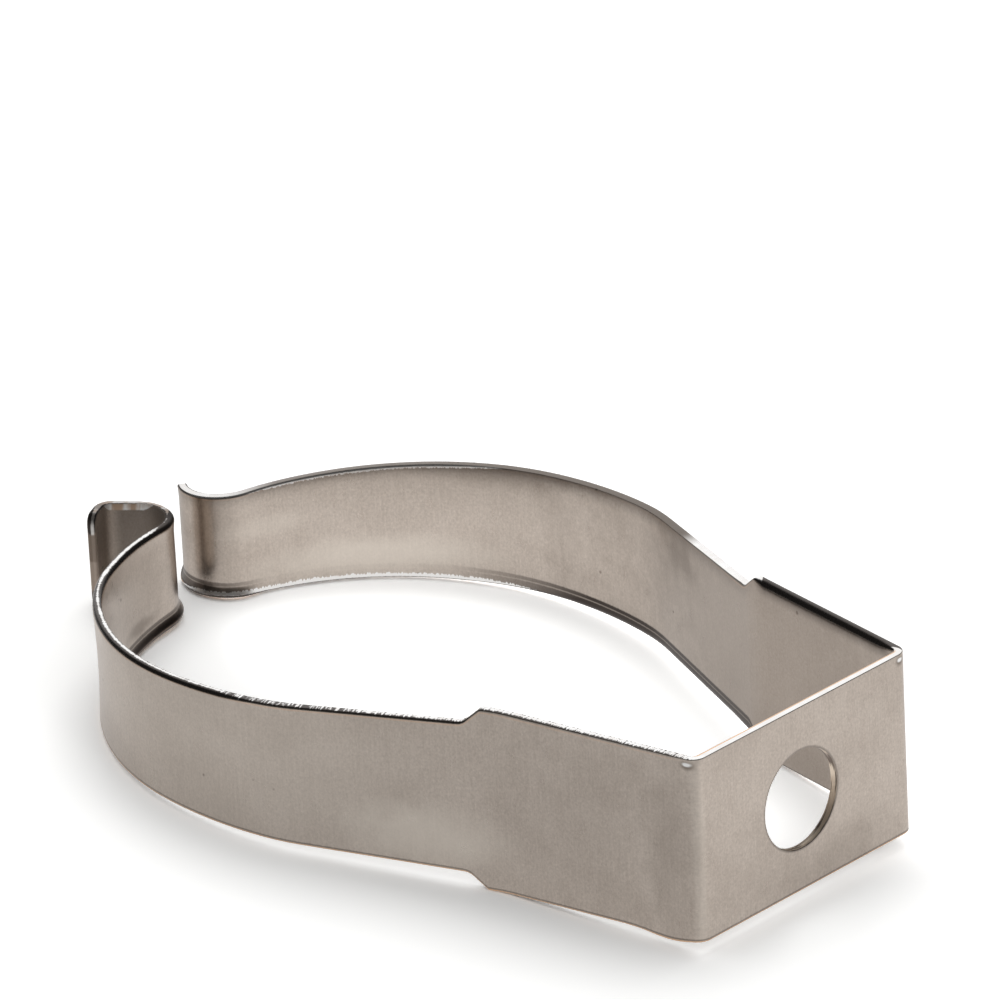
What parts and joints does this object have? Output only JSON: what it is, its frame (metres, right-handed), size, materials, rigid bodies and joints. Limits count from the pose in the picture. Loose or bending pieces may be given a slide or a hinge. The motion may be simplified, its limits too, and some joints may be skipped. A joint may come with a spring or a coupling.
{
  "type": "tube clip",
  "caption": "Spring clip folded from one tapering strip: flat base with a screw hole, side walls, and bowed arms that meet in a hook and a curled lip.",
  "frame": {"origin": "centre of the screw hole on the base plate's outer face", "axes": "+X out of the base plate, so that the mouth is towards -X; +Z across the strip's width; +Y towards the arm with the lip"},
  "size_m": [0.0482, 0.03, 0.01],
  "materials": {
    "spring_steel": "satin rolled stainless strip with sheared edges"
  },
  "bodies": {
    "root": {"tube_clip": "spring_steel"}
  },
  "joints": []
}
